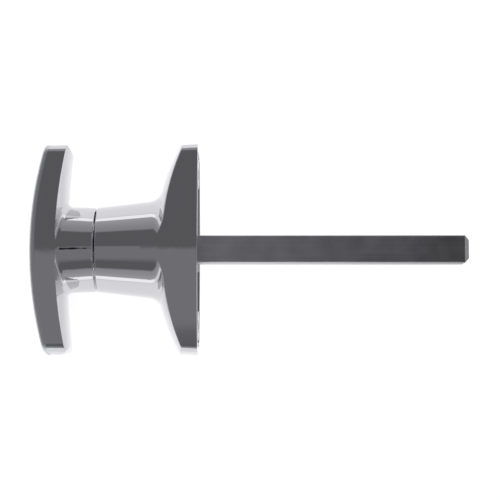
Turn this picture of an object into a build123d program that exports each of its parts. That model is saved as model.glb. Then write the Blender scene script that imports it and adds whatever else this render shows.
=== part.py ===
"""Locking T-handle for a garage door, in millimetres.

Every piece is drawn lying on its back: X runs along the bar, Y across it, and Z rises from the
door's face to the front of the handle. mounted() then turns it into the part's own frame: origin on
the spindle's axis in the plane of the door's face, X along the bar, Y into the door, Z up.
At rest the bar lies level, the lock is open and its bolt is drawn in.
"""
from build123d import *
import os
from math import ceil, cos, degrees, hypot, radians, sin, sqrt, tan

# Rosette: the fixed plate with its neck
ROSETTE_LENGTH = 61.3
ROSETTE_WIDTH = 29.9
ROSETTE_SIDE_RADIUS = 90.0
ROSETTE_END_RADIUS = 40.0
ROSETTE_CORNER = 3.0
ROSETTE_DRAFT = 4.0
ROSETTE_EDGE = 0.5
ROSETTE_WALL = 2.4
DOME_HEIGHT = 13.1
DOME_LONG_RADIUS = 63.0
DOME_CROSS_RADIUS = 34.5
NECK_HEIGHT = 29.2
NECK_TOP_RADIUS = 12.25
NECK_DRAFT = 6.9
NECK_BLEND = 4.0
COLLAR_REAR = 6.0
COLLAR_WALL = 3.2
EDGE_BREAK = 0.25

# Two tapped posts take the screws that come through the door
POST_SPACING = 44.0
POST_RADIUS = 4.2
SCREW_HOLE_RADIUS = 2.1
SCREW_HOLE_DEPTH = 6.0

# Bar of the handle
HANDLE_HEIGHT = 47.75
BAR_END_SETBACK = 0.15
BAR_WIDTH = 22.2
BAR_DEPTH = 9.55
BAR_SIDE_RADIUS = 164.0
BAR_END_RADIUS = 24.7
BAR_CORNER = 3.0
BAR_DRAFT = 1.5
BAR_FRONT_RADIUS = 116.0
BAR_BACK_RADIUS = 226.0
BAR_BACK_CROSS_RADIUS = 28.0
BAR_BACK_CORNER = 2.8
BAR_BACK_CORNER_BITE = 0.15
BAR_FRONT_EDGE = 0.8

# Recessed, ribbed panels either side of the boss
RIM_SIDE = 1.85
RIM_END = 3.85
PANEL_DEPTH = 1.0
PANEL_CORNER = 1.1
RIB_PITCH = 0.6
RIB_HEIGHT = 0.25
BOSS_RADIUS = 9.7
BOSS_EAR_WIDTH = 12.0
BOSS_EAR_FILLET = 1.2
BOSS_DROP = 0.25

# Hub and the journal that turns in the rosette
HUB_GAP = 0.35
HUB_LONG_RADIUS = 12.55
HUB_BLEND = 1.5
HUB_BLEND_SHARE = 0.3
HUB_SIDE_SETBACK = 0.3
JOURNAL_RADIUS = 8.45
TURNING_CLEARANCE = 0.05
JOURNAL_TAIL = 1.2

# Stop between handle and rosette
HANDLE_TURN = 90.0
STOP_INNER_RADIUS = 9.4
STOP_OUTER_RADIUS = 11.1
STOP_HALF_ANGLE = 8.0
STOP_DEPTH = 1.6
STOP_CLEARANCE = 0.15
STOP_PLAY_ANGLE = 1.0

# Retaining ring and thrust washer behind the rosette's collar
RING_THICKNESS = 1.0
RING_DEPTH = 0.75
RING_WIDTH = 1.95
RING_GAP_HALF_ANGLE = 16.0
RING_LUG_ANGLE = 6.0
RING_LUG_RADIUS = 1.35
RING_LUG_HOLE_RADIUS = 0.6
WASHER_THICKNESS = 0.7
WASHER_OUTER_RADIUS = 10.8
WASHER_CLEARANCE = 0.1
WASHER_RECESS_CLEARANCE = 0.4
AXIAL_PLAY = 0.05

# Square spindle and its cross pin
SPINDLE_SIDE = 7.94
SPINDLE_REACH = 78.0
SOCKET_WEB = 2.6
SPINDLE_CLEARANCE = 0.03
SPINDLE_EDGE = 0.5
SPINDLE_END_CHAMFER = 1.3
PIN_RADIUS = 1.5
PIN_INSET = 0.25
PIN_CLEARANCE = 0.02

# Lock plug
PLUG_INSET = 0.2
HEAD_RADIUS = 7.3
HEAD_THICKNESS = 1.6
HEAD_CLEARANCE = 0.25
HEAD_BEVEL = 0.4
HEAD_DISH = 0.2
GROOVE_COVER = 0.1
CRATER_RADIUS = 2.9
CRATER_DEPTH = 0.6
CRATER_SLOPE = 55.0
PLUG_RADIUS = 6.2
PLUG_LENGTH = 20.6
KEYWAY_WIDTH = 2.5
KEYWAY_TOP = 2.6
KEYWAY_BOTTOM = 5.6

# Wafers: the list holds how far below the axis each one's window ends, which is the key's code
KEY_CODE = (3.8, 1.6, 2.6, 3.2, 2.0)
WAFER_PITCH = 2.6
WAFER_THICKNESS = 1.0
WAFER_WIDTH = 7.0
WAFER_TRAVEL = 0.6
WAFER_CLEARANCE = 0.05
WAFER_WINDOW_WIDTH = 3.0
WAFER_WINDOW_TOP = 2.9
WAFER_EAR_REACH = 1.6
WAFER_EAR_HEIGHT = 2.0
WAFER_GROOVE_DEPTH = 0.85
WAFER_GROOVE_SIDE = 0.2

# Coil springs under the wafers' ears and behind the retaining wafer
SPRING_RADIUS = 0.65
SPRING_WIRE = 0.22
SPRING_LENGTH = 2.9
SPRING_TURNS = 4
SPRING_POCKET_GAP = 0.05

# Retaining wafer, which keeps the plug in its bore
RETAINER_WIDTH = 4.0
RETAINER_LENGTH = 4.6
RETAINER_REACH = 0.5
RETAINER_GROOVE_GAP = 0.2

# Locking bolt, driven across by the plug's eccentric pin
CAM_PIN_RADIUS = 1.1
CAM_PIN_OFFSET = 1.75
CAM_REST_ANGLE = 225.0
CAM_SWING = 90.0
CAM_SLOT_CLEARANCE = 0.12
BOLT_WIDTH = 8.0
BOLT_THICKNESS = 4.0
BOLT_TAIL = 4.0
BOLT_TIP_INSET = 0.25
BOLT_CLEARANCE = 0.05
BOLT_PLUG_GAP = 0.4
BOLT_EDGE = 0.3
NOTCH_DEPTH = 2.5
NOTCH_CLEARANCE = 0.15
NOTCH_COUNT = 4

# Not sizes of the product: edges flatter than this count as smooth, and an ellipse needs unequal radii
LEAST_SHARP_ANGLE = 20.0
ROUND_TOLERANCE = 0.001

# Worked out from the sizes above
BAR_LENGTH = ROSETTE_LENGTH - 2 * BAR_END_SETBACK
NECK_SLOPE = tan(radians(NECK_DRAFT))
BORE_RADIUS = JOURNAL_RADIUS + TURNING_CLEARANCE
HUB_BASE = NECK_HEIGHT + HUB_GAP
BAR_BACK = HANDLE_HEIGHT - BAR_DEPTH
SLAB_REACH = 0.6 * BAR_LENGTH
BAR_BACK_SAGITTA = BAR_BACK_CROSS_RADIUS - sqrt(BAR_BACK_CROSS_RADIUS**2 - (BAR_WIDTH / 2) ** 2)
CREASE_HEIGHT = BAR_BACK + BAR_BACK_SAGITTA
PLUG_FACE = HANDLE_HEIGHT - PLUG_INSET
HEAD_SEAT = PLUG_FACE - HEAD_THICKNESS
PLUG_END = HEAD_SEAT - PLUG_LENGTH
PLUG_BORE_RADIUS = PLUG_RADIUS + TURNING_CLEARANCE
BOLT_TOP = PLUG_END - BOLT_PLUG_GAP
BOLT_BOTTOM = BOLT_TOP - BOLT_THICKNESS
BOLT_TIP = JOURNAL_RADIUS - BOLT_TIP_INSET
BOLT_TRAVEL = 2 * CAM_PIN_OFFSET * sin(radians(CAM_SWING / 2))
CAM_PIN_TIP = BOLT_BOTTOM + BOLT_PLUG_GAP
RING_TOP = COLLAR_REAR - AXIAL_PLAY - WASHER_THICKNESS
RING_BOTTOM = RING_TOP - RING_THICKNESS
JOURNAL_END = RING_BOTTOM - AXIAL_PLAY - JOURNAL_TAIL
RING_SEAT_RADIUS = JOURNAL_RADIUS - RING_DEPTH
SPINDLE_SEAT = BOLT_BOTTOM - SOCKET_WEB
PIN_HEIGHT = (RING_TOP + SPINDLE_SEAT) / 2
WAFER_HEIGHTS = [HEAD_SEAT - WAFER_PITCH * (i + 1) for i in range(len(KEY_CODE))]
RETAINER_HEIGHT = WAFER_HEIGHTS[-1] - WAFER_PITCH
EAR_CENTRE = WAFER_WIDTH / 2 + WAFER_EAR_REACH / 2


def circles_meet(centre_a, radius_a, centre_b, radius_b):
    """The crossing point of two circles that has positive x and y."""
    dx = centre_b[0] - centre_a[0]
    dy = centre_b[1] - centre_a[1]
    apart = hypot(dx, dy)
    along = (radius_a**2 - radius_b**2 + apart**2) / (2 * apart)
    aside = sqrt(radius_a**2 - along**2)
    points = []
    for sign in (-1, 1):
        x = centre_a[0] + (along * dx - sign * aside * dy) / apart
        y = centre_a[1] + (along * dy + sign * aside * dx) / apart
        points.append((x, y))
    return max(points, key=lambda point: min(point))


def barrel(length, width, side_radius, end_radius, corner):
    """Outline with bowed long sides, bowed ends and rounded corners."""
    half_length = length / 2
    half_width = width / 2
    x, y = circles_meet(
        (0, half_width - side_radius), side_radius, (half_length - end_radius, 0), end_radius
    )
    edges = [
        ThreePointArc((-x, y), (0, half_width), (x, y)),
        ThreePointArc((x, y), (half_length, 0), (x, -y)),
        ThreePointArc((x, -y), (0, -half_width), (-x, -y)),
        ThreePointArc((-x, -y), (-half_length, 0), (-x, y)),
    ]
    outline = make_face(Curve() + edges)
    return fillet(outline.vertices(), corner)


def drafted_barrel(size, bottom, top, draft, level=0.0):
    """A barrel-shaped block whose walls lean in towards the front; its outline is true at level."""
    length, width, side_radius, end_radius, corner = size
    sections = []
    for height in (bottom, top):
        inset = (height - level) * tan(radians(draft))
        outline = barrel(
            length - 2 * inset,
            width - 2 * inset,
            side_radius - inset,
            end_radius - inset,
            corner - inset,
        )
        sections.append(Pos(0, 0, height) * outline)
    return loft(sections, ruled=True)


def crowned(profile, long_radius, crest, half_length):
    """Sweep a profile drawn across the bar along an arc of long_radius whose crest is at that height."""
    half_angle = degrees(half_length / long_radius)
    axis = Axis((0, 0, crest - long_radius), (0, 1, 0))
    swept = revolve(profile, axis=axis, revolution_arc=2 * half_angle)
    return swept.rotate(axis, -half_angle)


def ring_sector(inner, outer, middle, half_angle, bottom, top):
    """Part of a flat ring, about the direction middle in degrees."""
    start = middle - half_angle
    arc_out = CenterArc((0, 0), outer, start, 2 * half_angle)
    arc_in = CenterArc((0, 0), inner, start, 2 * half_angle)
    edges = [arc_out, arc_in, Line(arc_in @ 0, arc_out @ 0), Line(arc_in @ 1, arc_out @ 1)]
    return Pos(0, 0, bottom) * extrude(make_face(Curve() + edges), top - bottom)


def cylinder(radius, bottom, top):
    return Pos(0, 0, (bottom + top) / 2) * Cylinder(radius, top - bottom)


def block(x_low, x_high, y_low, y_high, bottom, top):
    size = (x_high - x_low, y_high - y_low, top - bottom)
    centre = ((x_low + x_high) / 2, (y_low + y_high) / 2, (bottom + top) / 2)
    return Pos(*centre) * Box(*size)


def neck_radius(height):
    return NECK_TOP_RADIUS + (NECK_HEIGHT - height) * NECK_SLOPE


def sagitta(radius, reach):
    """How far an arc has fallen away from its tangent at that reach."""
    return radius - sqrt(radius**2 - reach**2)


def arched_profile(radius, reach, crest, far_side):
    """The area across the bar between an arc and a flat far side, which the arc bulges away from."""
    drop = sagitta(radius, reach) if far_side < crest else -sagitta(radius, reach)
    arc = ThreePointArc((-reach, crest - drop), (0, crest), (reach, crest - drop))
    sides = Polyline(
        (reach, crest - drop), (reach, far_side), (-reach, far_side), (-reach, crest - drop)
    )
    return Plane.YZ * make_face(Curve() + [arc, sides])


def dome(height, long_radius, cross_radius):
    """Everything under a surface that is arched both along and across the bar."""
    profile = arched_profile(cross_radius, 0.75 * ROSETTE_WIDTH, height, -height)
    return crowned(profile, long_radius, height, 0.75 * ROSETTE_LENGTH)


def loop_between(body, low, high, radius_low, radius_high):
    """Edges of body that stay between two heights and two distances from the spindle's axis."""
    found = []
    for edge in body.edges():
        points = [edge @ (i / 8) for i in range(9)]
        at_height = all(low <= point.Z <= high for point in points)
        at_radius = all(radius_low <= hypot(point.X, point.Y) <= radius_high for point in points)
        if at_height and at_radius:
            found.append(edge)
    return found


def sharp_edges(body, low, high):
    """Edges of body between two heights along which its faces meet at an angle."""
    found = []
    for edge in body.edges():
        middle = edge @ 0.5
        if low < middle.Z < high:
            beside = [face for face in body.faces() if any(edge.is_same(other) for other in face.edges())]
            normals = [face.normal_at(middle) for face in beside]
            if len(normals) == 2 and normals[0].get_angle(normals[1]) > LEAST_SHARP_ANGLE:
                found.append(edge)
    return found


def make_rosette():
    size = (
        ROSETTE_LENGTH,
        ROSETTE_WIDTH,
        ROSETTE_SIDE_RADIUS,
        ROSETTE_END_RADIUS,
        ROSETTE_CORNER,
    )
    neck_root = COLLAR_REAR
    neck = Pos(0, 0, (neck_root + NECK_HEIGHT) / 2) * Cone(
        neck_radius(neck_root), NECK_TOP_RADIUS, NECK_HEIGHT - neck_root
    )
    flared = dome(DOME_HEIGHT, DOME_LONG_RADIUS, DOME_CROSS_RADIUS) + neck
    root = neck_radius(DOME_HEIGHT)
    root_floor = DOME_HEIGHT - sagitta(DOME_CROSS_RADIUS, root) - 1
    flared = fillet(loop_between(flared, root_floor, DOME_HEIGHT, root - 1, root + 1), NECK_BLEND)
    body = flared & drafted_barrel(size, 0, NECK_HEIGHT + 1, ROSETTE_DRAFT)
    body = fillet(sharp_edges(body, ROSETTE_EDGE, NECK_HEIGHT - 1), ROSETTE_EDGE)
    body = chamfer(body.faces().sort_by(Axis.Z)[-1].edges(), EDGE_BREAK)

    inner_size = (
        ROSETTE_LENGTH - 2 * ROSETTE_WALL,
        ROSETTE_WIDTH - 2 * ROSETTE_WALL,
        ROSETTE_SIDE_RADIUS - ROSETTE_WALL,
        ROSETTE_END_RADIUS - ROSETTE_WALL,
        ROSETTE_CORNER,
    )
    hollow = drafted_barrel(inner_size, -1, DOME_HEIGHT, ROSETTE_DRAFT) & dome(
        DOME_HEIGHT - ROSETTE_WALL,
        DOME_LONG_RADIUS - ROSETTE_WALL,
        DOME_CROSS_RADIUS - ROSETTE_WALL,
    )
    hollow -= cylinder(BORE_RADIUS + COLLAR_WALL, COLLAR_REAR, DOME_HEIGHT)
    for side in (-1, 1):
        hollow -= Pos(side * POST_SPACING / 2, 0) * cylinder(POST_RADIUS, 0, DOME_HEIGHT)
    body -= hollow
    body -= cylinder(WASHER_OUTER_RADIUS + WASHER_RECESS_CLEARANCE, 0, COLLAR_REAR)

    body -= cylinder(BORE_RADIUS, 0, NECK_HEIGHT + 1)
    for side in (-1, 1):
        hole = cylinder(SCREW_HOLE_RADIUS, -1, SCREW_HOLE_DEPTH)
        body -= Pos(side * POST_SPACING / 2, 0) * hole

    half_notch = BOLT_WIDTH / 2 + NOTCH_CLEARANCE
    notch = block(
        -half_notch,
        half_notch,
        0,
        BORE_RADIUS + NOTCH_DEPTH,
        BOLT_BOTTOM - NOTCH_CLEARANCE,
        BOLT_TOP + NOTCH_CLEARANCE,
    )
    for i in range(NOTCH_COUNT):
        body -= notch.rotate(Axis.Z, i * 360 / NOTCH_COUNT)

    body -= ring_sector(
        STOP_INNER_RADIUS - STOP_CLEARANCE,
        STOP_OUTER_RADIUS + STOP_CLEARANCE,
        180,
        HANDLE_TURN + STOP_HALF_ANGLE + STOP_PLAY_ANGLE,
        NECK_HEIGHT - STOP_DEPTH,
        NECK_HEIGHT + 1,
    )
    return body


def make_handle_blank():
    """Bar and hub in one, before the panel, the lock's bore and the journal."""
    reach = 0.95 * BAR_WIDTH
    roof = HANDLE_HEIGHT + sagitta(BAR_BACK_CROSS_RADIUS, reach)
    profile = arched_profile(BAR_BACK_CROSS_RADIUS, reach, BAR_BACK, roof)
    slab = crowned(profile, BAR_BACK_RADIUS, BAR_BACK, SLAB_REACH)

    # the hub runs on into the bar, as wide across as the bar is where its back meets its sides
    inside = HANDLE_HEIGHT - 2
    share = (CREASE_HEIGHT - HUB_BASE) / (inside - HUB_BASE)
    crease_half = BAR_WIDTH / 2 - HUB_SIDE_SETBACK
    top_half = NECK_TOP_RADIUS - (NECK_TOP_RADIUS - crease_half) / share
    nearly_round = Ellipse(NECK_TOP_RADIUS, NECK_TOP_RADIUS - ROUND_TOLERANCE)
    hub = loft(
        [Pos(0, 0, HUB_BASE) * nearly_round, Pos(0, 0, inside) * Ellipse(HUB_LONG_RADIUS, top_half)],
        ruled=True,
    )
    body = slab + hub
    blend = min(HUB_BLEND, HUB_BLEND_SHARE * (BAR_BACK - HUB_BASE))
    corner = loop_between(body, BAR_BACK - 1, CREASE_HEIGHT + 1, crease_half - 1, HUB_LONG_RADIUS + 1)
    return fillet(corner, blend)


def make_handle():
    body = make_handle_blank()

    # near the joint the hub is wider than the bar, so only what lies above is trimmed to the bar's outline
    size = (BAR_LENGTH, BAR_WIDTH, BAR_SIDE_RADIUS, BAR_END_RADIUS, BAR_CORNER)
    outline_floor = BAR_BACK - sagitta(BAR_BACK_RADIUS, SLAB_REACH) - 1
    plan = drafted_barrel(size, outline_floor, HANDLE_HEIGHT + 1, BAR_DRAFT, level=CREASE_HEIGHT)
    hub_reach = 1.5 * NECK_TOP_RADIUS
    hub_top = BAR_BACK + sagitta(BAR_BACK_CROSS_RADIUS, BAR_WIDTH / 4)
    waste = block(-BAR_LENGTH, BAR_LENGTH, -BAR_WIDTH, BAR_WIDTH, outline_floor, HANDLE_HEIGHT + 1)
    waste -= block(-hub_reach, hub_reach, -hub_reach, hub_reach, outline_floor - 1, hub_top)
    body -= waste - plan
    front = Pos(0, 0, HANDLE_HEIGHT - BAR_FRONT_RADIUS) * Rot(90, 0, 0) * Cylinder(
        BAR_FRONT_RADIUS, 2 * BAR_WIDTH
    )
    body &= front
    front_face = body.faces().sort_by(Axis.Z)[-1]
    body = fillet(front_face.edges(), BAR_FRONT_EDGE)
    body -= bar_corner_cutters()
    hub_face = body.faces().sort_by(Axis.Z)[0]
    body = chamfer(hub_face.edges(), EDGE_BREAK)

    body -= make_step_cutter()
    body -= make_panel_cutter()

    body += cylinder(JOURNAL_RADIUS, JOURNAL_END, HUB_BASE + 1)
    body += ring_sector(
        STOP_INNER_RADIUS,
        STOP_OUTER_RADIUS,
        180,
        STOP_HALF_ANGLE,
        HUB_BASE - STOP_DEPTH,
        HUB_BASE + 1,
    )
    ring_groove = cylinder(BORE_RADIUS, RING_BOTTOM - AXIAL_PLAY, RING_TOP + AXIAL_PLAY)
    ring_groove -= cylinder(
        RING_SEAT_RADIUS, RING_BOTTOM - AXIAL_PLAY, RING_TOP + AXIAL_PLAY
    )
    body -= ring_groove

    body -= make_lock_bore()
    body -= make_bolt_channel()
    half_hole = SPINDLE_SIDE / 2 + SPINDLE_CLEARANCE
    body -= block(-half_hole, half_hole, -half_hole, half_hole, JOURNAL_END - 1, SPINDLE_SEAT)
    body -= pin_hole()
    return body


def bar_corner_cutters():
    """Rounds the bar's ends where they meet its back."""
    radius = BAR_BACK_CORNER
    inset = radius + BAR_BACK_CORNER_BITE
    half_length = BAR_LENGTH / 2
    centre = (half_length - inset, BAR_BACK - sagitta(BAR_BACK_RADIUS, half_length - radius) + inset)
    quarter = Rectangle(2 * radius, 2 * radius, align=(Align.MIN, Align.MAX)) - Circle(radius)
    cutters = None
    for side in (-1, 1):
        corner = Pos(centre[0], centre[1]) * quarter
        cutter = extrude(Plane.XZ * corner, BAR_WIDTH, both=True)
        if side < 0:
            cutter = mirror(cutter, Plane.YZ)
        cutters = cutter if cutters is None else cutters + cutter
    return cutters


def rim_opening():
    """Outline inside the rim of the bar's face."""
    lean = (HANDLE_HEIGHT - CREASE_HEIGHT) * tan(radians(BAR_DRAFT))
    return barrel(
        BAR_LENGTH - 2 * (lean + RIM_END),
        BAR_WIDTH - 2 * (lean + RIM_SIDE),
        BAR_SIDE_RADIUS - RIM_SIDE,
        BAR_END_RADIUS - RIM_END,
        PANEL_CORNER,
    )


def under_rim(outline, depth):
    """A plug of that outline, from outside the bar to well below that depth under its curved face."""
    sag = sagitta(BAR_FRONT_RADIUS, BAR_LENGTH / 2)
    return Pos(0, 0, HANDLE_HEIGHT - depth - sag - 1) * extrude(outline, depth + sag + 3)


def make_step_cutter():
    """Sets everything inside the rim a little lower, so the boss has an edge where it meets the rim."""
    floor = HANDLE_HEIGHT - BOSS_DROP
    profile = Plane.YZ * Pos(0, floor) * Rectangle(2 * BAR_WIDTH, 4, align=(Align.CENTER, Align.MIN))
    lowered = crowned(profile, BAR_FRONT_RADIUS, HANDLE_HEIGHT, BAR_LENGTH / 2)
    return lowered & under_rim(rim_opening(), BOSS_DROP)


def make_panel_cutter():
    """The recess of both panels, with the ribs standing on its floor."""
    floor = HANDLE_HEIGHT - PANEL_DEPTH
    roof = HANDLE_HEIGHT + 2
    rib_count = ceil(BAR_WIDTH / RIB_PITCH)
    start = -rib_count * RIB_PITCH / 2
    points = [(start, roof)]
    for i in range(rib_count):
        foot = start + i * RIB_PITCH
        points.append((foot, floor))
        points.append((foot + RIB_PITCH / 2, floor + RIB_HEIGHT))
    points += [(-start, floor), (-start, roof)]
    profile = Plane.YZ * make_face(Polyline(*points, close=True))
    ribbed = crowned(profile, BAR_FRONT_RADIUS, HANDLE_HEIGHT, BAR_LENGTH / 2)

    outline = rim_opening() - Circle(BOSS_RADIUS) - Rectangle(BOSS_EAR_WIDTH, BAR_WIDTH)
    shoulders = [point for point in outline.vertices() if hypot(point.X, point.Y) < BOSS_RADIUS + 0.01]
    outline = fillet(shoulders, BOSS_EAR_FILLET)
    return ribbed & under_rim(outline, PANEL_DEPTH)


def make_lock_bore():
    """Counterbore for the plug's head, its bore, and the grooves that the wafers spring into."""
    bore = cylinder(HEAD_RADIUS + HEAD_CLEARANCE, HEAD_SEAT - AXIAL_PLAY, HANDLE_HEIGHT + 1)
    bore += cylinder(PLUG_BORE_RADIUS, BOLT_TOP + BOLT_CLEARANCE, HANDLE_HEIGHT)
    half_groove = WAFER_WIDTH / 2 + WAFER_GROOVE_SIDE
    groove_end = WAFER_HEIGHTS[-1] - WAFER_THICKNESS
    for angle in (0, 90):
        slot = block(
            -half_groove,
            half_groove,
            -PLUG_BORE_RADIUS - WAFER_GROOVE_DEPTH,
            PLUG_BORE_RADIUS + WAFER_GROOVE_DEPTH,
            groove_end,
            HEAD_SEAT,
        )
        under_head = cylinder(HEAD_RADIUS - GROOVE_COVER, groove_end - 1, HEAD_SEAT)
        bore += slot.rotate(Axis.Z, angle) & under_head
    half_ring = WAFER_THICKNESS / 2 + RETAINER_GROOVE_GAP
    bore += cylinder(
        PLUG_RADIUS + RETAINER_REACH + RETAINER_GROOVE_GAP,
        RETAINER_HEIGHT - half_ring,
        RETAINER_HEIGHT + half_ring,
    )
    return bore


def make_bolt_channel():
    half_width = BOLT_WIDTH / 2 + BOLT_CLEARANCE
    return block(
        -half_width,
        half_width,
        -BOLT_TAIL - BOLT_CLEARANCE,
        BORE_RADIUS,
        BOLT_BOTTOM - BOLT_CLEARANCE,
        BOLT_TOP + BOLT_CLEARANCE,
    )


def pin_hole():
    hole = Cylinder(PIN_RADIUS + PIN_CLEARANCE, 4 * JOURNAL_RADIUS)
    return Pos(0, 0, PIN_HEIGHT) * Rot(0, 90, 0) * hole


def make_spindle():
    half_side = SPINDLE_SIDE / 2
    top = SPINDLE_SEAT - AXIAL_PLAY
    square = block(-half_side, half_side, -half_side, half_side, -SPINDLE_REACH, top)
    rounded = fillet(square.edges().filter_by(Axis.Z), SPINDLE_EDGE)
    pointed = chamfer(square.faces().sort_by(Axis.Z)[0].edges(), SPINDLE_END_CHAMFER)
    return (rounded & pointed) - pin_hole()


def make_spindle_pin():
    return Pos(0, 0, PIN_HEIGHT) * Rot(0, 90, 0) * Cylinder(PIN_RADIUS, 2 * (JOURNAL_RADIUS - PIN_INSET))


def make_thrust_washer():
    washer = cylinder(WASHER_OUTER_RADIUS, RING_TOP, RING_TOP + WASHER_THICKNESS)
    return washer - cylinder(JOURNAL_RADIUS + WASHER_CLEARANCE, RING_TOP - 1, COLLAR_REAR + 1)


def make_retaining_ring():
    outer = RING_SEAT_RADIUS + RING_WIDTH
    inner = RING_SEAT_RADIUS + TURNING_CLEARANCE
    ring = ring_sector(inner, outer, 90, 180 - RING_GAP_HALF_ANGLE, RING_BOTTOM, RING_TOP)
    lug_centre = outer - RING_LUG_RADIUS / 2
    for side in (-1, 1):
        angle = -90 + side * (RING_GAP_HALF_ANGLE + RING_LUG_ANGLE)
        place = Rot(0, 0, angle) * Pos(lug_centre, 0)
        ring += place * cylinder(RING_LUG_RADIUS, RING_BOTTOM, RING_TOP)
        ring -= place * cylinder(RING_LUG_HOLE_RADIUS, RING_BOTTOM - 1, RING_TOP + 1)
    return ring - cylinder(inner, RING_BOTTOM - 1, RING_TOP + 1)


def make_lock_plug():
    rim = HEAD_RADIUS - HEAD_BEVEL
    dish = ThreePointArc(
        (0, PLUG_FACE - HEAD_DISH), (rim / 2, PLUG_FACE - HEAD_DISH * 0.75), (rim, PLUG_FACE)
    )
    wall = Polyline(
        (rim, PLUG_FACE),
        (HEAD_RADIUS, PLUG_FACE - HEAD_BEVEL),
        (HEAD_RADIUS, HEAD_SEAT),
        (PLUG_RADIUS, HEAD_SEAT),
        (PLUG_RADIUS, PLUG_END + EDGE_BREAK),
        (PLUG_RADIUS - EDGE_BREAK, PLUG_END),
        (0, PLUG_END),
        (0, PLUG_FACE - HEAD_DISH),
    )
    profile = Plane.XZ * make_face(Curve() + [dish, wall])
    plug = revolve(profile, axis=Axis.Z)
    dish_level = PLUG_FACE - HEAD_DISH
    widening = CRATER_DEPTH / tan(radians(CRATER_SLOPE))
    crater = Cone(CRATER_RADIUS - widening, CRATER_RADIUS + widening, 2 * CRATER_DEPTH)
    plug -= Pos(0, 0, dish_level) * crater

    keyway_end = WAFER_HEIGHTS[-1] - WAFER_THICKNESS
    half_key = KEYWAY_WIDTH / 2
    plug -= block(-half_key, half_key, -KEYWAY_BOTTOM, KEYWAY_TOP, keyway_end, PLUG_FACE + 1)
    for height in WAFER_HEIGHTS:
        plug -= Pos(0, 0, height) * wafer_slot()

    half_slot = WAFER_THICKNESS / 2 + WAFER_CLEARANCE
    plug -= block(
        -RETAINER_WIDTH / 2 - WAFER_CLEARANCE,
        RETAINER_WIDTH / 2 + WAFER_CLEARANCE,
        -PLUG_RADIUS - 1,
        retainer_inner_end() + SPRING_LENGTH,
        RETAINER_HEIGHT - half_slot,
        RETAINER_HEIGHT + half_slot,
    )
    plug -= spring_pocket(0, retainer_inner_end(), RETAINER_HEIGHT)

    cam_angle = radians(CAM_REST_ANGLE)
    cam = cylinder(CAM_PIN_RADIUS, CAM_PIN_TIP, PLUG_END + 1)
    plug += Pos(CAM_PIN_OFFSET * cos(cam_angle), CAM_PIN_OFFSET * sin(cam_angle)) * cam
    return plug


def retainer_inner_end():
    return -PLUG_RADIUS - RETAINER_REACH + RETAINER_LENGTH


def wafer_slot():
    """Room in the plug for one wafer, its ear and the spring under the ear, about height 0."""
    half_slot = WAFER_THICKNESS / 2 + WAFER_CLEARANCE
    half_width = WAFER_WIDTH / 2 + WAFER_CLEARANCE
    slot = block(-half_width, half_width, -PLUG_RADIUS - 1, PLUG_RADIUS + 1, -half_slot, half_slot)
    slot += block(
        0,
        half_width + WAFER_EAR_REACH,
        0,
        WAFER_EAR_HEIGHT + WAFER_TRAVEL + WAFER_CLEARANCE,
        -half_slot,
        half_slot,
    )
    return slot + spring_pocket(EAR_CENTRE, -SPRING_LENGTH, 0)


def spring_pocket(x, low, height):
    radius = SPRING_RADIUS + SPRING_POCKET_GAP
    pocket = Cylinder(radius, SPRING_LENGTH, align=(Align.CENTER, Align.CENTER, Align.MIN))
    return Pos(x, low, height) * Rot(-90, 0, 0) * pocket


def make_wafer(window_bottom):
    """One wafer at the shear line, about height 0."""
    half_width = WAFER_WIDTH / 2
    outline = Circle(PLUG_RADIUS - WAFER_CLEARANCE) & Rectangle(WAFER_WIDTH, 4 * PLUG_RADIUS)
    ear = Pos(half_width, WAFER_EAR_HEIGHT / 2) * Rectangle(
        2 * WAFER_EAR_REACH, WAFER_EAR_HEIGHT
    )
    outline += ear
    window_height = WAFER_WINDOW_TOP + window_bottom
    window = Pos(0, WAFER_WINDOW_TOP - window_height / 2) * Rectangle(
        WAFER_WINDOW_WIDTH, window_height
    )
    outline -= window
    return extrude(outline, WAFER_THICKNESS / 2, both=True)


def make_retaining_wafer():
    half_width = RETAINER_WIDTH / 2
    outer = -PLUG_RADIUS - RETAINER_REACH
    blade = block(
        -half_width,
        half_width,
        outer,
        retainer_inner_end(),
        RETAINER_HEIGHT - WAFER_THICKNESS / 2,
        RETAINER_HEIGHT + WAFER_THICKNESS / 2,
    )
    return blade & cylinder(-outer, RETAINER_HEIGHT - 1, RETAINER_HEIGHT + 1)


def make_spring(x, low, height):
    """A coil spring that stands along Y from low, of square wire."""
    coil_radius = SPRING_RADIUS - SPRING_WIRE / 2
    coil_height = SPRING_LENGTH - SPRING_WIRE
    helix = Helix(coil_height / SPRING_TURNS, coil_height, coil_radius)
    section = Plane(helix @ 0, z_dir=helix % 0) * Rectangle(SPRING_WIRE, SPRING_WIRE)
    coil = sweep(section, path=helix, is_frenet=True)
    return Pos(x, low + SPRING_WIRE / 2, height) * Rot(-90, 0, 0) * coil


def make_locking_bolt():
    half_width = BOLT_WIDTH / 2
    bolt = block(-half_width, half_width, -BOLT_TAIL, BOLT_TIP, BOLT_BOTTOM, BOLT_TOP)
    bolt &= cylinder(BOLT_TIP, BOLT_BOTTOM, BOLT_TOP)
    bolt = chamfer(bolt.faces().sort_by(Axis.Y)[-1].edges(), BOLT_EDGE)
    # the pin swings as far above the -X direction as below it, and the slot lets it move along X
    near = CAM_PIN_OFFSET * cos(radians(CAM_SWING / 2))
    slot_radius = CAM_PIN_RADIUS + CAM_SLOT_CLEARANCE
    middle = -(near + CAM_PIN_OFFSET) / 2
    slot = SlotCenterToCenter(CAM_PIN_OFFSET - near, 2 * slot_radius)
    rest = -BOLT_TRAVEL / 2
    return bolt - Pos(middle, rest, BOLT_BOTTOM - 1) * extrude(slot, BOLT_THICKNESS + 2)


def mounted(piece):
    """From the drawing position to the part's frame: the front, drawn upwards, faces -Y."""
    return piece.rotate(Axis.X, 90)


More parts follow.
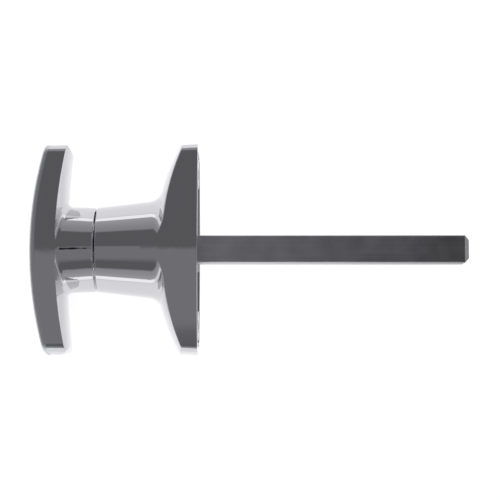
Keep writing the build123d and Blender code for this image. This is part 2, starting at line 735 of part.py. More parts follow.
def main():
    pieces = {
        "rosette": make_rosette(),
        "handle": make_handle(),
        "spindle": make_spindle(),
        "spindle_pin": make_spindle_pin(),
        "thrust_washer": make_thrust_washer(),
        "retaining_ring": make_retaining_ring(),
        "lock_plug": make_lock_plug(),
        "retaining_wafer": make_retaining_wafer(),
        "retaining_wafer_spring": make_spring(0, retainer_inner_end(), RETAINER_HEIGHT),
        "locking_bolt": make_locking_bolt(),
    }
    for i, (height, window_bottom) in enumerate(zip(WAFER_HEIGHTS, KEY_CODE), start=1):
        pieces[f"wafer_{i}"] = Pos(0, 0, height) * make_wafer(window_bottom)
        pieces[f"wafer_spring_{i}"] = make_spring(EAR_CENTRE, -SPRING_LENGTH, height)

    os.makedirs("parts", exist_ok=True)
    for name, piece in pieces.items():
        export_step(mounted(piece), f"parts/{name}.step")


main()
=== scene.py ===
"""Finishes for the locking T-handle of a garage door, and the small studio it is shown in.

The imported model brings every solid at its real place, in metres: the spindle's axis is Y, the door's
face is the plane y = 0, and the bar lies along X. Each operator below dresses one group of pieces.
"""
import bpy
from math import cos, radians, sin
from mathutils import Matrix, Vector


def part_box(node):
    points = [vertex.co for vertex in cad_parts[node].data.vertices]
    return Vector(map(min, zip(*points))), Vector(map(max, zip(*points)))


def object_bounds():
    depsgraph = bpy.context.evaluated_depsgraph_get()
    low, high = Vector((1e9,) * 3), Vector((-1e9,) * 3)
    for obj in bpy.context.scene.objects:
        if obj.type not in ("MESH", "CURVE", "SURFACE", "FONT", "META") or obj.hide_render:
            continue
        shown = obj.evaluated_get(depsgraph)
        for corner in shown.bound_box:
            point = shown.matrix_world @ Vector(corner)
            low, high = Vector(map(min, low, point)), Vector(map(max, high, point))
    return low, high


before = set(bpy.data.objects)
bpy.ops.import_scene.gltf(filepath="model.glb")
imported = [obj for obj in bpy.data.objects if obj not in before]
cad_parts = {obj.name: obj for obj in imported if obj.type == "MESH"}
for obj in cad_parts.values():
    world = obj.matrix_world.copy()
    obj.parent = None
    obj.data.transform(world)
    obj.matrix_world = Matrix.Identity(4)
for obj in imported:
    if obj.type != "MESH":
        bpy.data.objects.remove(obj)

bl_info = {
    "name": "Garage door T-handle",
    "version": (1, 0, 0),
    "blender": (4, 5, 0),
    "location": "View3D > Sidebar > T-Handle",
    "description": "Dresses the locking T-handle and sets up its studio",
    "category": "Object",
}

MM = 0.001
CAD_BOX = [list(corner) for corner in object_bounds()]
HANDLE_BOX = [list(corner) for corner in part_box("handle")]

# Places that the finishes and the floor need, read off the solids
BAR_FRONT = HANDLE_BOX[0][1]
BAR_REACH = HANDLE_BOX[1][0]
SPINDLE_END = CAD_BOX[1][1]

# The handle's face, whose finish changes with the depth under the arc of its front
BAR_FRONT_RADIUS = 116 * MM
BOSS_RADIUS = 9.7 * MM
BOSS_DROP = 0.25 * MM
PANEL_DEPTH = 1.0 * MM
# shares of the panels' depth over which their finish comes in, and goes out again past their floor
PANEL_STARTS = (0.35, 0.65)
PANEL_ENDS = (1.3, 1.6)
# how far below the boss the satin ends, and at which cosines of a turn away from the front
FACE_MARGIN = (0.05 * MM, 0.15 * MM)
FACE_TURN = (0.86, 0.94)
GRAIN_HEIGHT = 0.05 * MM

# How far down the keyway its painted shade starts, and where that painted shade is full
SHADE_START_DEPTH = 2.0 * MM
FULL_SHADE_DEPTH = 6.0 * MM

# The spindle's shade at the door and at its free end, and how much the mottle adds to it
SPINDLE_SHADES = (0.4, -0.27)
MOTTLE = 0.6

# The room. An edge is the angles, in degrees, over which one tone gives way to the next: from the
# camera's direction for the ceiling, from straight up for the walls, and from straight down for the
# ground.
UP = (0, 0, 1)
DOWN = (0, 0, -1)
CEILING_EDGE = (50, 55)
WALL_SHADING = (45, 92)
BACKDROP_EDGE = (80, 81)
GROUND_EDGE = (86, 89)
# how far towards +X the board starts, is full, fades and ends, as sines of an angle
BOARD_EDGES = (-0.08, -0.05, 0.38, 0.56)
# how far towards either side the backdrop gets brighter, as sines too
BRIGHT_EDGE = (0.75, 0.85)
# the dark fitting's place and half its size, in degrees along X and along Y, and the share of that
# size over which its edge is soft
FITTING_PLACE = (-0.5, -23.5)
FITTING_HALF_SIZE = (2.6, 2.8)
FITTING_SOFTNESS = 0.3
# tones, where 1 is white
BACKDROP = 1.0
BRIGHT_BACKDROP = 1.4
DARK_FITTING = 0.01

# Half the width of the round floor, in metres
FLOOR_RADIUS = 6


def linear(code):
    """A colour written as sRGB hex, such as #C8C9CB, as Blender's linear red, green and blue."""
    values = [int(code[i : i + 2], 16) / 255 for i in (1, 3, 5)]
    return tuple(v / 12.92 if v <= 0.04045 else ((v + 0.055) / 1.055) ** 2.4 for v in values)


def opaque(colour):
    """That colour with an alpha of 1, as sockets want it."""
    return tuple(colour) + (1.0,)


def grey(value):
    """A grey of that strength, in the same form."""
    return (value, value, value, 1.0)


def add_node(tree, kind, settings=None, **inputs):
    """Adds a node, sets its properties, and sets or links its inputs.

    An input is named as its socket is, with _ for a space, or i0, i1 and so on for its place."""
    node = tree.nodes.new(kind)
    for name, value in (settings or {}).items():
        setattr(node, name, value)
    for name, value in inputs.items():
        numbered = name[0] == "i" and name[1:].isdigit()
        socket = node.inputs[int(name[1:])] if numbered else node.inputs[name.replace("_", " ")]
        if isinstance(value, bpy.types.NodeSocket):
            tree.links.new(value, socket)
        else:
            socket.default_value = value
    return node


def new_material(name):
    """An empty node material, with its output and the object's own coordinates to start from."""
    material = bpy.data.materials.new(name)
    material.use_nodes = True
    tree = material.node_tree
    tree.nodes.clear()
    output = add_node(tree, "ShaderNodeOutputMaterial")
    place = add_node(tree, "ShaderNodeTexCoord").outputs["Object"]
    return material, tree, output, place


def dress(material, *names):
    """Gives the named CAD pieces this finish."""
    for name in names:
        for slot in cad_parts[name].material_slots:
            slot.material = material


def per_mm(size):
    """A texture scale whose features are about that many millimetres across."""
    return 1 / (size * MM)


# Finishes of the object


def face_and_panels(tree, place):
    """How far each point of the castings belongs to the bar's satin face, and to its panels.

    A panel's floor lies under the arc of the bar's front, so both are told by the depth under it.
    """
    to_axis = add_node(tree, "ShaderNodeVectorMath", {"operation": "MULTIPLY_ADD"}, i0=place,
                       i1=(1, 1, 0), i2=(0, -(BAR_FRONT + BAR_FRONT_RADIUS), 0))
    from_axis = add_node(tree, "ShaderNodeVectorMath", {"operation": "LENGTH"}, i0=to_axis.outputs[0])
    deep = add_node(tree, "ShaderNodeMapRange", {"interpolation_type": "SMOOTHSTEP"},
                    Value=from_axis.outputs["Value"],
                    From_Min=BAR_FRONT_RADIUS - PANEL_STARTS[0] * PANEL_DEPTH,
                    From_Max=BAR_FRONT_RADIUS - PANEL_STARTS[1] * PANEL_DEPTH)
    shallow = add_node(tree, "ShaderNodeMapRange", Value=from_axis.outputs["Value"],
                       From_Min=BAR_FRONT_RADIUS - PANEL_ENDS[1] * PANEL_DEPTH,
                       From_Max=BAR_FRONT_RADIUS - PANEL_ENDS[0] * PANEL_DEPTH)
    # the plug's bore is as deep, but it lies within the boss
    across = add_node(tree, "ShaderNodeVectorMath", {"operation": "MULTIPLY"}, i0=place, i1=(1, 0, 1))
    from_lock = add_node(tree, "ShaderNodeVectorMath", {"operation": "LENGTH"}, i0=across.outputs[0])
    past_boss = add_node(tree, "ShaderNodeMath", {"operation": "GREATER_THAN"},
                         i0=from_lock.outputs["Value"], i1=BOSS_RADIUS)
    panel = add_node(tree, "ShaderNodeMath", {"operation": "MULTIPLY"}, i0=deep.outputs[0],
                     i1=shallow.outputs[0])
    panel = add_node(tree, "ShaderNodeMath", {"operation": "MULTIPLY"}, i0=panel.outputs[0],
                     i1=past_boss.outputs[0])

    # the satin reaches down to the boss, which lies a little below the rim
    face = add_node(tree, "ShaderNodeMapRange", {"interpolation_type": "SMOOTHSTEP"},
                    Value=from_axis.outputs["Value"],
                    From_Min=BAR_FRONT_RADIUS - BOSS_DROP - FACE_MARGIN[1],
                    From_Max=BAR_FRONT_RADIUS - BOSS_DROP - FACE_MARGIN[0])
    # the rounded edges turn away from the front, and are polished as the sides are
    normal = add_node(tree, "ShaderNodeTexCoord").outputs["Normal"]
    forwards = add_node(tree, "ShaderNodeVectorMath", {"operation": "DOT_PRODUCT"}, i0=normal,
                        i1=(0, -1, 0))
    level = add_node(tree, "ShaderNodeMapRange", {"interpolation_type": "SMOOTHSTEP"},
                     Value=forwards.outputs["Value"], From_Min=FACE_TURN[0], From_Max=FACE_TURN[1])
    face = add_node(tree, "ShaderNodeMath", {"operation": "MULTIPLY"}, i0=face.outputs[0],
                    i1=level.outputs[0])
    return face.outputs[0], panel.outputs[0]


def polished_skin(tree, place, panel, finishes):
    """The form of the skin: smoothed by polishing, but for the panels, which keep the cast texture."""
    # polishing by hand rounds the edges a little, and leaves the skin wavy over some 9 mm
    rounded = add_node(tree, "ShaderNodeBevel", {"samples": 6}, Radius=finishes.edge_round)
    waves = add_node(tree, "ShaderNodeTexNoise", Vector=place, Scale=per_mm(9), Detail=2.0)
    wavy = add_node(tree, "ShaderNodeBump", Height=waves.outputs["Fac"], Strength=1.0,
                    Distance=finishes.polish_waves, Normal=rounded.outputs[0])
    # the cast texture has grains of about half a millimetre
    grains = add_node(tree, "ShaderNodeTexNoise", Vector=place, Scale=per_mm(0.45), Detail=3.0,
                      Roughness=0.6)
    grain_height = add_node(tree, "ShaderNodeMath", {"operation": "MULTIPLY"},
                            i0=grains.outputs["Fac"], i1=panel)
    bumped = add_node(tree, "ShaderNodeBump", Height=grain_height.outputs[0], Strength=1.0,
                      Distance=GRAIN_HEIGHT, Normal=wavy.outputs["Normal"])
    return bumped.outputs["Normal"]


def plating_roughness(tree, place, face, panel, finishes):
    """How dull the plating is: polished with a faint haze, satin on the face, matt in the panels."""
    # the haze comes and goes over some 4 mm
    haze = add_node(tree, "ShaderNodeTexNoise", Vector=place, Scale=per_mm(4), Detail=4.0)
    polished = add_node(tree, "ShaderNodeMapRange", Value=haze.outputs["Fac"], From_Min=0.35,
                        From_Max=0.7, To_Min=finishes.chrome_roughness,
                        To_Max=finishes.chrome_roughness + 0.03)
    rubbed = add_node(tree, "ShaderNodeMix", {"data_type": "FLOAT"}, i0=face,
                      i2=polished.outputs[0], i3=finishes.face_roughness)
    matt = add_node(tree, "ShaderNodeMix", {"data_type": "FLOAT"}, i0=panel,
                    i2=rubbed.outputs[0], i3=finishes.panel_roughness)
    return matt.outputs[0]


def chrome_on_casting(finishes):
    """Bright chrome plating on die-cast zinc, polished by hand before plating.

    To the eye: a mirror, with reflections that waver a little over a few millimetres, and a faint haze
    that comes and goes. The bar's face is rubbed satin, which looks greyer. The ribbed panels aren't
    polished at all, so there the plating is matt, and painted paler: painted light against the shade of
    their recess.
    """
    material, tree, output, place = new_material("chrome_on_zinc_casting")
    face, panel = face_and_panels(tree, place)
    colour = add_node(tree, "ShaderNodeMix", {"data_type": "RGBA"}, i0=face,
                      i6=opaque(finishes.chrome_colour), i7=opaque(finishes.face_colour))
    # the panels' paler colour is painted light, lifting the shade of their recess and ribs
    colour = add_node(tree, "ShaderNodeMix", {"data_type": "RGBA"}, i0=panel,
                      i6=colour.outputs[2], i7=opaque(finishes.panel_colour_with_light))
    shader = add_node(tree, "ShaderNodeBsdfPrincipled", Base_Color=colour.outputs[2], Metallic=1.0,
                      Roughness=plating_roughness(tree, place, face, panel, finishes),
                      Normal=polished_skin(tree, place, panel, finishes))
    tree.links.new(shader.outputs[0], output.inputs["Surface"])
    return material


def satin_chrome_on_brass(finishes):
    """Satin chrome on a turned brass plug.

    To the eye: a soft grey sheen, with fine rings round the keyway from the lathe, and a keyway darkened
    with painted shade down its hollow.
    """
    material, tree, output, place = new_material("satin_chrome_on_turned_brass")
    # the lathe's rings are some 0.05 mm apart, drawn at about 0.65 mm so that they show: a wave
    # comes round again after 0.31 of its scale
    rings = add_node(tree, "ShaderNodeTexWave", {"wave_type": "RINGS", "rings_direction": "Y"},
                     Vector=place, Scale=per_mm(2.1), Distortion=0.6, Detail=2.0, Detail_Scale=2.0)
    grooved = add_node(tree, "ShaderNodeBump", Height=rings.outputs["Fac"], Strength=1.0,
                       Distance=0.004 * MM)
    spread = add_node(tree, "ShaderNodeTexNoise", Vector=place, Scale=per_mm(2.5), Detail=3.0)
    roughness = add_node(tree, "ShaderNodeMapRange", Value=spread.outputs["Fac"], From_Min=0.3,
                         From_Max=0.7, To_Min=finishes.plug_roughness,
                         To_Max=finishes.plug_roughness + 0.08)
    # the keyway is darkened down its hollow with painted shade, from the plug's colour to a dark one
    distance = add_node(tree, "ShaderNodeSeparateXYZ", Vector=place)
    inside = add_node(tree, "ShaderNodeMapRange", Value=distance.outputs["Y"],
                      From_Min=BAR_FRONT + SHADE_START_DEPTH, From_Max=BAR_FRONT + FULL_SHADE_DEPTH)
    colour = add_node(tree, "ShaderNodeMix", {"data_type": "RGBA"}, i0=inside.outputs[0],
                      i6=opaque(finishes.plug_colour), i7=opaque(finishes.keyway_shade_colour))
    shader = add_node(tree, "ShaderNodeBsdfPrincipled", Base_Color=colour.outputs[2],
                      Metallic=1.0, Roughness=roughness.outputs[0], Normal=grooved.outputs["Normal"])
    tree.links.new(shader.outputs[0], output.inputs["Surface"])
    return material


def zinc_on_drawn_steel(finishes):
    """Thin dull zinc over cold-drawn square steel bar.

    To the eye: dark grey and soft, with faint streaks along the bar from the die and small clouds. It
    gets darker towards the free end.
    """
    material, tree, output, place = new_material("zinc_on_drawn_steel")
    # streaks are some 0.6 mm wide and run for some 30 mm along the bar
    along = add_node(tree, "ShaderNodeMapping", Vector=place,
                     Scale=(per_mm(0.6), per_mm(30), per_mm(0.6)))
    streaks = add_node(tree, "ShaderNodeTexNoise", Vector=along.outputs[0], Scale=1.0, Detail=4.0)
    clouds = add_node(tree, "ShaderNodeTexNoise", Vector=place, Scale=per_mm(5), Detail=5.0)
    # the mottle is mostly clouds, with some of the streaks in it
    mottle = add_node(tree, "ShaderNodeMix", {"data_type": "FLOAT"}, i0=0.65,
                      i2=streaks.outputs["Fac"], i3=clouds.outputs["Fac"])
    # darker towards the free end
    distance = add_node(tree, "ShaderNodeSeparateXYZ", Vector=place)
    towards_end = add_node(tree, "ShaderNodeMapRange", Value=distance.outputs["Y"], From_Min=0.0,
                      From_Max=SPINDLE_END, To_Min=SPINDLE_SHADES[0], To_Max=SPINDLE_SHADES[1])
    shade = add_node(tree, "ShaderNodeMath", {"operation": "MULTIPLY_ADD"}, i0=mottle.outputs[0],
                     i1=MOTTLE, i2=towards_end.outputs[0])
    darkest = Vector(finishes.spindle_colour) * 0.6
    palest = Vector(finishes.spindle_colour) * 2.0
    tint = add_node(tree, "ShaderNodeMix", {"data_type": "RGBA"}, i0=shade.outputs[0],
                    i6=opaque(darkest), i7=opaque(palest))
    roughness = add_node(tree, "ShaderNodeMapRange", Value=mottle.outputs[0], From_Min=0.3,
                         From_Max=0.7, To_Min=finishes.spindle_roughness - 0.05,
                         To_Max=finishes.spindle_roughness + 0.08)
    drawn = add_node(tree, "ShaderNodeBump", Height=streaks.outputs["Fac"], Strength=1.0,
                     Distance=0.006 * MM)
    shader = add_node(tree, "ShaderNodeBsdfPrincipled", Base_Color=tint.outputs[2], Metallic=1.0,
                      Roughness=roughness.outputs[0], Normal=drawn.outputs["Normal"])
    tree.links.new(shader.outputs[0], output.inputs["Surface"])
    return material


def blanked_metal(name, colour, roughness, grain):
    """Sheet or wire as it leaves the press: plain metal, dull, with a grain of that many millimetres.

    To the eye: the wafers' brass is dull and warm, with painted shade in its darkened colour, and hard
    steel looks cool and grey.
    """
    material, tree, output, place = new_material(name)
    spots = add_node(tree, "ShaderNodeTexNoise", Vector=place, Scale=per_mm(grain), Detail=4.0)
    tint = add_node(tree, "ShaderNodeMix", {"data_type": "RGBA"}, i0=spots.outputs["Fac"],
                    i6=opaque(Vector(colour) * 0.8), i7=opaque(Vector(colour) * 1.15))
    dull = add_node(tree, "ShaderNodeMapRange", Value=spots.outputs["Fac"], From_Min=0.3,
                    From_Max=0.7, To_Min=roughness - 0.06, To_Max=roughness + 0.06)
    shader = add_node(tree, "ShaderNodeBsdfPrincipled", Base_Color=tint.outputs[2], Metallic=1.0,
                      Roughness=dull.outputs[0])
    tree.links.new(shader.outputs[0], output.inputs["Surface"])
    return material


# The floor, and the room that the chrome mirrors


def matt_white_board(studio):
    """Matt white board for the floor.

    To the eye: white wherever it is seen or mirrored, and still shaded below the object.
    """
    material, tree, output, _ = new_material("matt_white_board")
    light = add_node(tree, "ShaderNodeLightPath")
    seen = add_node(tree, "ShaderNodeMath", {"operation": "MAXIMUM"},
                    i0=light.outputs["Is Camera Ray"], i1=light.outputs["Is Glossy Ray"])
    seen = add_node(tree, "ShaderNodeMath", {"operation": "MAXIMUM"}, i0=seen.outputs[0],
                    i1=light.outputs["Is Transmission Ray"])
    lift = add_node(tree, "ShaderNodeMath", {"operation": "MULTIPLY"}, i0=seen.outputs[0],
                    i1=studio.floor_lift)
    shader = add_node(tree, "ShaderNodeBsdfPrincipled", Base_Color=opaque(studio.floor_colour),
                      Roughness=0.9, Specular_IOR_Level=0.0,
                      Emission_Color=opaque(studio.floor_colour), Emission_Strength=lift.outputs[0])
    tree.links.new(shader.outputs[0], output.inputs["Surface"])
    return material


def within(tree, direction, axis, edge):
    """1 less than the edge's first angle from the axis, and 0 more than its second angle from it."""
    near = add_node(tree, "ShaderNodeVectorMath", {"operation": "DOT_PRODUCT"}, i0=direction, i1=axis)
    share = add_node(tree, "ShaderNodeMapRange", {"interpolation_type": "SMOOTHSTEP"},
                     Value=near.outputs["Value"], From_Min=cos(radians(edge[1])),
                     From_Max=cos(radians(edge[0])))
    return share.outputs[0]


def white_backdrop(tree, direction):
    """A white backdrop low round the walls, brighter at the sides.

    To the eye: the neck mirrors its brighter parts as thin white lines.
    """
    sideways = add_node(tree, "ShaderNodeSeparateXYZ", Vector=direction)
    aside = add_node(tree, "ShaderNodeMath", {"operation": "ABSOLUTE"}, i0=sideways.outputs["X"])
    brighter = add_node(tree, "ShaderNodeMapRange", Value=aside.outputs[0], From_Min=BRIGHT_EDGE[0],
                        From_Max=BRIGHT_EDGE[1])
    backdrop = add_node(tree, "ShaderNodeMix", {"data_type": "RGBA"}, i0=brighter.outputs[0],
                        i6=grey(BACKDROP), i7=grey(BRIGHT_BACKDROP))
    return backdrop.outputs[2]


def grey_walls(tree, direction, studio):
    """Walls that get paler from the ceiling down to the floor."""
    height = within(tree, direction, UP, WALL_SHADING)
    walls = add_node(tree, "ShaderNodeMix", {"data_type": "RGBA"}, i0=height,
                     i6=opaque(studio.wall_foot), i7=opaque(studio.wall_top))
    return walls.outputs[2]


def dim_ceiling(tree, direction, studio):
    """A dim ceiling and the paler board under it, a strip with ragged edges and uneven light."""
    clouds = add_node(tree, "ShaderNodeTexNoise", Vector=direction, Scale=6.0, Detail=3.0)
    ragged = add_node(tree, "ShaderNodeMath", {"operation": "MULTIPLY_ADD"},
                      i0=clouds.outputs["Fac"], i1=studio.unevenness, i2=-studio.unevenness / 2)
    sideways = add_node(tree, "ShaderNodeSeparateXYZ", Vector=direction)
    across = add_node(tree, "ShaderNodeMath", {"operation": "ADD"}, i0=sideways.outputs["X"],
                      i1=ragged.outputs[0])
    strip = add_node(tree, "ShaderNodeMapRange", Value=across.outputs[0], From_Min=-1.0)
    ramp = add_node(tree, "ShaderNodeValToRGB", Fac=strip.outputs[0])
    starts, full, fades, ends = [(edge + 1) / 2 for edge in BOARD_EDGES]
    stops = ramp.color_ramp.elements
    for stop, place in ((stops[0], starts), (stops[1], ends)):
        stop.position = place
        stop.color = opaque(studio.ceiling)
    for place in (full, fades):
        stops.new(place).color = opaque(studio.board)
    return ramp.outputs["Color"]


def dark_fitting(tree, direction):
    """1 on a small oval fitting overhead, and 0 past its soft edge.

    To the eye: the hub mirrors it as a thin black line.
    """
    middle = [sin(radians(angle)) for angle in FITTING_PLACE] + [0]
    scale = [1 / sin(radians(angle)) for angle in FITTING_HALF_SIZE] + [0]
    offset = add_node(tree, "ShaderNodeVectorMath", {"operation": "SUBTRACT"}, i0=direction, i1=middle)
    scaled = add_node(tree, "ShaderNodeVectorMath", {"operation": "MULTIPLY"}, i0=offset.outputs[0],
                      i1=scale)
    apart = add_node(tree, "ShaderNodeVectorMath", {"operation": "LENGTH"}, i0=scaled.outputs[0])
    share = add_node(tree, "ShaderNodeMapRange", {"interpolation_type": "SMOOTHSTEP"},
                     Value=apart.outputs["Value"], From_Min=1 + FITTING_SOFTNESS,
                     From_Max=1 - FITTING_SOFTNESS)
    return share.outputs[0]


# What a user would change


class THandleFinishes(bpy.types.PropertyGroup):
    """Colours and surface of the metals."""

    chrome_colour: bpy.props.FloatVectorProperty(
        name="Chrome", description="Colour of the plating on the castings", subtype="COLOR",
        size=3, min=0, max=1, default=linear("#C9C9CC"))
    chrome_roughness: bpy.props.FloatProperty(
        name="Chrome roughness", description="How dull the polished plating is", min=0, max=1,
        default=0.02)
    edge_round: bpy.props.FloatProperty(
        name="Edge rounding", description="Radius that polishing leaves on sharp edges",
        unit="LENGTH", subtype="DISTANCE", min=0, max=1 * MM, default=0.2 * MM)
    polish_waves: bpy.props.FloatProperty(
        name="Polish waves", description="Height of the waves that hand polishing leaves",
        unit="LENGTH", subtype="DISTANCE", min=0, max=1 * MM, default=0.03 * MM)
    face_colour: bpy.props.FloatVectorProperty(
        name="Face", description="Colour of the plating where the bar's face is rubbed satin",
        subtype="COLOR", size=3, min=0, max=1, default=linear("#AEAFB2"))
    # the panels' plating, painted paler as light against the shade of their recess
    panel_colour_with_light: bpy.props.FloatVectorProperty(
        name="Panels", description="Colour of the plating in the ribbed panels", subtype="COLOR",
        size=3, min=0, max=1, default=linear("#D2D3D6"))
    face_roughness: bpy.props.FloatProperty(
        name="Face roughness", description="How dull the plating is on the bar's face", min=0, max=1,
        default=0.24)
    panel_roughness: bpy.props.FloatProperty(
        name="Panel roughness", description="How dull the plating is in the ribbed panels", min=0,
        max=1, default=0.48)
    plug_colour: bpy.props.FloatVectorProperty(
        name="Plug", description="Colour of the plating on the lock's plug", subtype="COLOR",
        size=3, min=0, max=1, default=linear("#B9BABD"))
    plug_roughness: bpy.props.FloatProperty(
        name="Plug roughness", description="How dull the plug's face is", min=0, max=1, default=0.24)
    # painted shade: the dark colour deep in the keyway's hollow
    keyway_shade_colour: bpy.props.FloatVectorProperty(
        name="Grease", description="Colour of the greasy brass down the keyway", subtype="COLOR",
        size=3, min=0, max=1, default=linear("#3A3835"))
    spindle_colour: bpy.props.FloatVectorProperty(
        name="Spindle", description="Colour of the zinc on the square spindle", subtype="COLOR",
        size=3, min=0, max=1, default=linear("#A2A2A6"))
    spindle_roughness: bpy.props.FloatProperty(
        name="Spindle roughness", description="How dull the spindle is", min=0, max=1, default=0.38)
    # the wafers' brass, darkened and greyed with painted shade, as they lie deep in the keyway
    wafer_colour_with_shade: bpy.props.FloatVectorProperty(
        name="Wafers", description="Colour of the lock's brass wafers", subtype="COLOR",
        size=3, min=0, max=1, default=linear("#928C7B"))
    steel_colour: bpy.props.FloatVectorProperty(
        name="Plain steel", description="Colour of the pin, the bolt and the washer",
        subtype="COLOR", size=3, min=0, max=1, default=linear("#8F9094"))
    spring_colour: bpy.props.FloatVectorProperty(
        name="Spring steel", description="Colour of the springs and the retaining ring",
        subtype="COLOR", size=3, min=0, max=1, default=linear("#6E6F73"))


class THandleStudio(bpy.types.PropertyGroup):
    """Camera, floor and light."""

    camera_distance: bpy.props.FloatProperty(
        name="Camera distance", description="From the spindle's axis to the camera",
        unit="LENGTH", subtype="DISTANCE", min=0.1, default=465 * MM)
    camera_lean: bpy.props.FloatProperty(
        name="Camera lean", description="How far the camera leans from straight above towards +X",
        unit="ROTATION", subtype="ANGLE", default=radians(4.75))
    camera_along: bpy.props.FloatProperty(
        name="Camera along", description="How far along the spindle the camera stands",
        unit="LENGTH", subtype="DISTANCE", default=14.9 * MM)
    lens: bpy.props.FloatProperty(
        name="Lens", description="Focal length of the camera in millimetres", min=20, default=115.5)
    floor_gap: bpy.props.FloatProperty(
        name="Floor gap", description="Between the bar, when it is turned upright, and the floor",
        unit="LENGTH", subtype="DISTANCE", min=0, default=0.5 * MM)
    floor_colour: bpy.props.FloatVectorProperty(
        name="Floor", description="Colour of the floor", subtype="COLOR", size=3, min=0, max=1,
        default=linear("#F2F2F2"))
    floor_lift: bpy.props.FloatProperty(
        name="Floor lift", description="How far the floor is lifted towards white where it is seen",
        min=0, max=1, default=0.68)
    lamp_power: bpy.props.FloatProperty(
        name="Lamp power", description="Power of the soft lamp overhead", unit="POWER", min=0,
        default=8.0)
    lamp_size: bpy.props.FloatProperty(
        name="Lamp size", description="Width of the soft lamp", unit="LENGTH", subtype="DISTANCE",
        min=0.01, default=1.2)
    lamp_height: bpy.props.FloatProperty(
        name="Lamp height", description="From the spindle's axis up to the lamp", unit="LENGTH",
        subtype="DISTANCE", min=0.1, default=1.6)
    unevenness: bpy.props.FloatProperty(
        name="Unevenness", description="How ragged the light overhead is", min=0, max=1, default=0.2)
    ceiling: bpy.props.FloatVectorProperty(
        name="Ceiling", description="Colour of the dim ceiling", subtype="COLOR", size=3, min=0,
        max=1, default=linear("#6D6D6F"))
    board: bpy.props.FloatVectorProperty(
        name="Board", description="Colour of the paler board that hangs beside the camera",
        subtype="COLOR", size=3, min=0, max=1, default=linear("#8C8C8E"))
    wall_top: bpy.props.FloatVectorProperty(
        name="Wall top", description="Colour of the walls where they meet the ceiling",
        subtype="COLOR", size=3, min=0, max=1, default=linear("#A0A0A3"))
    wall_foot: bpy.props.FloatVectorProperty(
        name="Wall foot", description="Colour of the walls at the floor", subtype="COLOR", size=3,
        min=0, max=1, default=linear("#C6C6C8"))


# Pieces of the object


class THANDLE_OT_castings(bpy.types.Operator):
    """Chromes the two zinc castings, the handle and the rosette"""

    bl_idname = "thandle.castings"
    bl_label = "Chrome the castings"

    def execute(self, context):
        dress(chrome_on_casting(context.scene.t_handle_finishes), "handle", "rosette")
        return {"FINISHED"}


class THANDLE_OT_lock(bpy.types.Operator):
    """Finishes the lock: its plug, its wafers and their springs"""

    bl_idname = "thandle.lock"
    bl_label = "Finish the lock"

    def execute(self, context):
        finishes = context.scene.t_handle_finishes
        dress(satin_chrome_on_brass(finishes), "lock_plug")
        springs = [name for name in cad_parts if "spring" in name]
        wafers = [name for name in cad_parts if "wafer" in name and name not in springs]
        # the wafers' colour carries painted shade, as they lie deep in the keyway
        brass = blanked_metal("blanked_brass", finishes.wafer_colour_with_shade, roughness=0.42, grain=0.8)
        dress(brass, *wafers)
        wire = blanked_metal("spring_wire", finishes.spring_colour, roughness=0.32, grain=0.5)
        dress(wire, *springs)
        return {"FINISHED"}


class THANDLE_OT_drive(bpy.types.Operator):
    """Finishes what turns behind the door: spindle, pin, washer, retaining ring and locking bolt"""

    bl_idname = "thandle.drive"
    bl_label = "Finish the spindle and its fittings"

    def execute(self, context):
        finishes = context.scene.t_handle_finishes
        dress(zinc_on_drawn_steel(finishes), "spindle")
        steel = blanked_metal("ground_steel", finishes.steel_colour, roughness=0.28, grain=1.5)
        dress(steel, "spindle_pin", "thrust_washer", "locking_bolt")
        ring = blanked_metal("phosphated_spring_steel", finishes.spring_colour, roughness=0.4,
                             grain=1.0)
        dress(ring, "retaining_ring")
        return {"FINISHED"}


# The studio


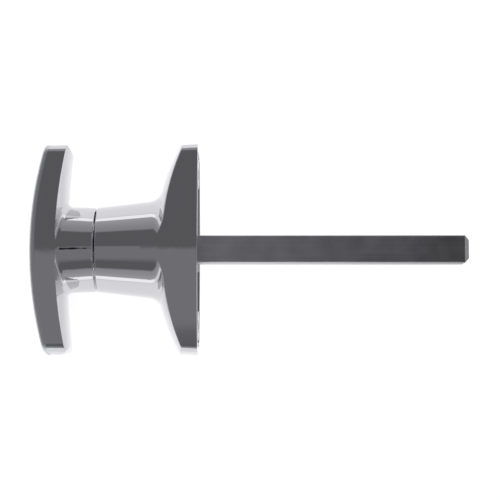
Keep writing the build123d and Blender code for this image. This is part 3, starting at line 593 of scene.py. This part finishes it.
class THANDLE_OT_studio(bpy.types.Operator):
    """Sets up the white floor, the dim room, the soft lamp and the camera"""

    bl_idname = "thandle.studio"
    bl_label = "Set up the studio"

    def execute(self, context):
        studio = context.scene.t_handle_studio
        self.lay_floor(studio)
        self.paint_room(context.scene, studio)
        self.hang_lamp(context.scene, studio)
        self.place_camera(context.scene, studio)
        context.scene.view_settings.view_transform = "Standard"
        return {"FINISHED"}

    def lay_floor(self, studio):
        """A white floor under the reach of the bar, lifted towards white only where it is seen."""
        level = -BAR_REACH - studio.floor_gap
        middle = (0, studio.camera_along, level)
        bpy.ops.object.select_all(action="DESELECT")
        bpy.ops.mesh.primitive_circle_add(vertices=96, radius=FLOOR_RADIUS, fill_type="NGON",
                                          location=middle)
        floor = bpy.context.object
        floor.name = "floor"
        bpy.ops.object.transform_apply(location=True)
        floor.data.materials.append(matt_white_board(studio))

    def paint_room(self, scene, studio):
        """A dim ceiling with a paler board and one dark fitting, and walls with a white backdrop.

        The chrome mirrors it, so its dark and pale bands and its thin lines come from here."""
        world = bpy.data.worlds.new("studio_room")
        scene.world = world
        world.use_nodes = True
        tree = world.node_tree
        tree.nodes.clear()
        output = add_node(tree, "ShaderNodeOutputWorld")
        direction = add_node(tree, "ShaderNodeTexCoord").outputs["Generated"]
        camera_side = (sin(studio.camera_lean), 0, cos(studio.camera_lean))

        # each of these covers what it lies over, and the backdrop lies under them all
        layers = (
            (within(tree, direction, UP, BACKDROP_EDGE), grey_walls(tree, direction, studio)),
            (within(tree, direction, camera_side, CEILING_EDGE), dim_ceiling(tree, direction, studio)),
            (dark_fitting(tree, direction), grey(DARK_FITTING)),
            (within(tree, direction, DOWN, GROUND_EDGE), grey(BACKDROP)),
        )
        room = white_backdrop(tree, direction)
        for share, tone in layers:
            covered = add_node(tree, "ShaderNodeMix", {"data_type": "RGBA"}, i0=share, i6=room, i7=tone)
            room = covered.outputs[2]
        sky = add_node(tree, "ShaderNodeBackground", Color=room, Strength=1.0)
        tree.links.new(sky.outputs[0], output.inputs["Surface"])

    def hang_lamp(self, scene, studio):
        """One broad lamp overhead. The chrome doesn't mirror it, as the room overhead is dim."""
        data = bpy.data.lights.new("soft_lamp", "AREA")
        data.shape = "DISK"
        data.size = studio.lamp_size
        data.energy = studio.lamp_power
        lamp = bpy.data.objects.new("soft_lamp", data)
        lamp.location = (0, studio.camera_along, studio.lamp_height)
        lamp.visible_glossy = False
        scene.collection.objects.link(lamp)

    def place_camera(self, scene, studio):
        """Almost straight above, so that the spindle points to the right of the picture."""
        lean = studio.camera_lean
        back = Vector((sin(lean), 0, cos(lean)))
        right = Vector((0, 1, 0))
        up = back.cross(right)
        data = bpy.data.cameras.new("camera")
        data.lens = studio.lens
        data.clip_start = 10 * MM
        camera = bpy.data.objects.new("camera", data)
        place = Vector((0, studio.camera_along, 0)) + back * studio.camera_distance
        camera.matrix_world = Matrix.Translation(place) @ Matrix((right, up, back)).transposed().to_4x4()
        scene.collection.objects.link(camera)
        scene.camera = camera


class THANDLE_PT_panel(bpy.types.Panel):
    """The sizes and colours, and a button for each step"""

    bl_idname = "THANDLE_PT_panel"
    bl_label = "T-Handle"
    bl_space_type = "VIEW_3D"
    bl_region_type = "UI"
    bl_category = "T-Handle"

    def draw(self, context):
        layout = self.layout
        for group in (context.scene.t_handle_finishes, context.scene.t_handle_studio):
            box = layout.box()
            for name in group.bl_rna.properties.keys():
                if name not in ("rna_type", "name"):
                    box.prop(group, name)
        for operator in STEPS:
            layout.operator(operator.bl_idname)


STEPS = (THANDLE_OT_castings, THANDLE_OT_lock, THANDLE_OT_drive, THANDLE_OT_studio)
CLASSES = (THandleFinishes, THandleStudio, *STEPS, THANDLE_PT_panel)


def register():
    for cls in CLASSES:
        bpy.utils.register_class(cls)
    bpy.types.Scene.t_handle_finishes = bpy.props.PointerProperty(type=THandleFinishes)
    bpy.types.Scene.t_handle_studio = bpy.props.PointerProperty(type=THandleStudio)


def unregister():
    del bpy.types.Scene.t_handle_studio
    del bpy.types.Scene.t_handle_finishes
    for cls in reversed(CLASSES):
        bpy.utils.unregister_class(cls)


def main():
    register()
    bpy.ops.thandle.castings()
    bpy.ops.thandle.lock()
    bpy.ops.thandle.drive()
    bpy.ops.thandle.studio()


if __name__ == "__main__":
    main()
